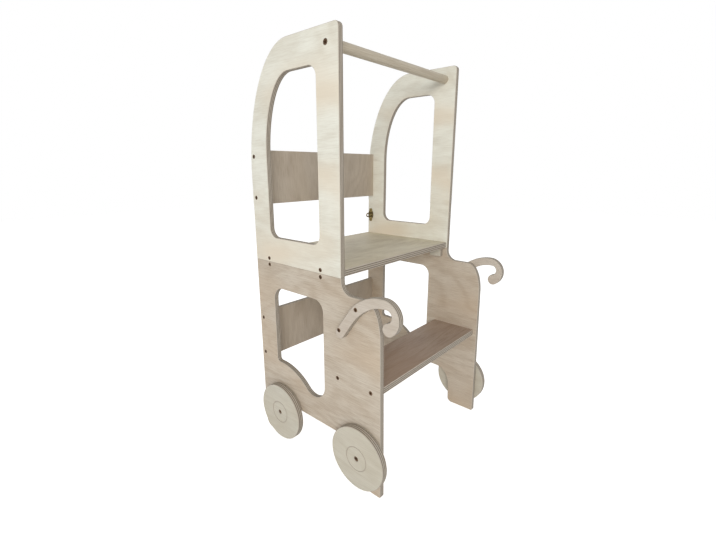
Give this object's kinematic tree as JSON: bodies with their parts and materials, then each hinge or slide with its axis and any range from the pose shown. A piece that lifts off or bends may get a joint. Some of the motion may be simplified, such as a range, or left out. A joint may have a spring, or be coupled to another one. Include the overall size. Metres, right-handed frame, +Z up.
{
  "type": "convertible kitchen tower for a child",
  "caption": "Plywood kitchen tower with window sides, a standing platform, a step and motor-car wheels; the upper frame folds back on hinges to make a low table and bench.",
  "frame": {"origin": "on the floor, under the middle of the object's box", "axes": "+Z up; -Y is the front with the nose, the curls and the step; +X is to the right of somebody who faces the front from behind the tower"},
  "size_m": [0.46, 0.4294, 0.8995],
  "materials": {
    "birch_upper": "clear matt lacquer on birch ply",
    "birch_lower": "clear matt lacquer on birch ply",
    "birch_board": "clear matt lacquer on birch ply",
    "birch_plank": "clear matt lacquer on birch ply",
    "birch_wheel": "clear matt lacquer on birch ply",
    "birch_trim": "clear matt lacquer on birch ply",
    "rail_wood": "sanded and clear lacquered beech",
    "brass": "aged brass plate",
    "bronze_screw": "bronze-coloured plating",
    "nylon": "natural nylon"
  },
  "bodies": {
    "base": {"lower_side_left": "birch_lower", "curl_left": "birch_trim", "rest_block_left": "birch_trim", "latch_barrel_left": "brass", "hinge_leaf_lower_left": "brass", "hinge_pin_left": "brass", "lower_side_right": "birch_lower", "curl_right": "birch_trim", "rest_block_right": "birch_trim", "latch_barrel_right": "brass", "hinge_leaf_lower_right": "brass", "hinge_pin_right": "brass", "seat_board": "birch_board", "table_board": "birch_board", "lower_back_plank": "birch_plank", "table_board_screws": "bronze_screw", "seat_screws": "bronze_screw", "lower_plank_screws": "bronze_screw", "curl_screws": "bronze_screw", "wheel_bolts": "bronze_screw", "barrel_screws": "brass", "hinge_screws_lower": "brass", "wheel_washers": "nylon"},
    "upper_frame": {"upper_side_left": "birch_upper", "upper_side_right": "birch_upper", "platform_board": "birch_board", "upper_back_plank": "birch_plank", "hand_rail": "rail_wood", "platform_screws": "bronze_screw", "upper_plank_screws": "bronze_screw", "rail_screws": "bronze_screw", "keeper_left": "brass", "keeper_right": "brass", "keeper_screws": "brass", "hinge_leaf_upper_left": "brass", "hinge_leaf_upper_right": "brass", "hinge_screws_upper": "brass"},
    "bolt_left": {"latch_bolt_left": "brass"},
    "wheel_front_left": {"wheel_front_left": "birch_wheel"},
    "wheel_rear_left": {"wheel_rear_left": "birch_wheel"},
    "bolt_right": {"latch_bolt_right": "brass"},
    "wheel_front_right": {"wheel_front_right": "birch_wheel"},
    "wheel_rear_right": {"wheel_rear_right": "birch_wheel"}
  },
  "joints": [
    {"name": "upper_fold", "type": "hinge", "parent": "base", "child": "upper_frame", "pos_m": [0, 0.2117, 0.45], "axis": [-1, 0, 0], "range_deg": [0, 180]},
    {"name": "bolt_left_slide", "type": "slide", "parent": "base", "child": "bolt_left", "axis": [0, 1, 0], "range_m": [0, 0.016]},
    {"name": "bolt_right_slide", "type": "slide", "parent": "base", "child": "bolt_right", "axis": [0, 1, 0], "range_m": [0, 0.016]},
    {"name": "wheel_front_left_spin", "type": "hinge", "parent": "base", "child": "wheel_front_left", "pos_m": [-0.2225, -0.1192, 0.08], "axis": [1, 0, 0], "continuous": true},
    {"name": "wheel_rear_left_spin", "type": "hinge", "parent": "base", "child": "wheel_rear_left", "pos_m": [-0.2225, 0.1294, 0.08], "axis": [1, 0, 0], "continuous": true},
    {"name": "wheel_front_right_spin", "type": "hinge", "parent": "base", "child": "wheel_front_right", "pos_m": [0.2225, -0.1192, 0.08], "axis": [1, 0, 0], "continuous": true},
    {"name": "wheel_rear_right_spin", "type": "hinge", "parent": "base", "child": "wheel_rear_right", "pos_m": [0.2225, 0.1294, 0.08], "axis": [1, 0, 0], "continuous": true}
  ]
}
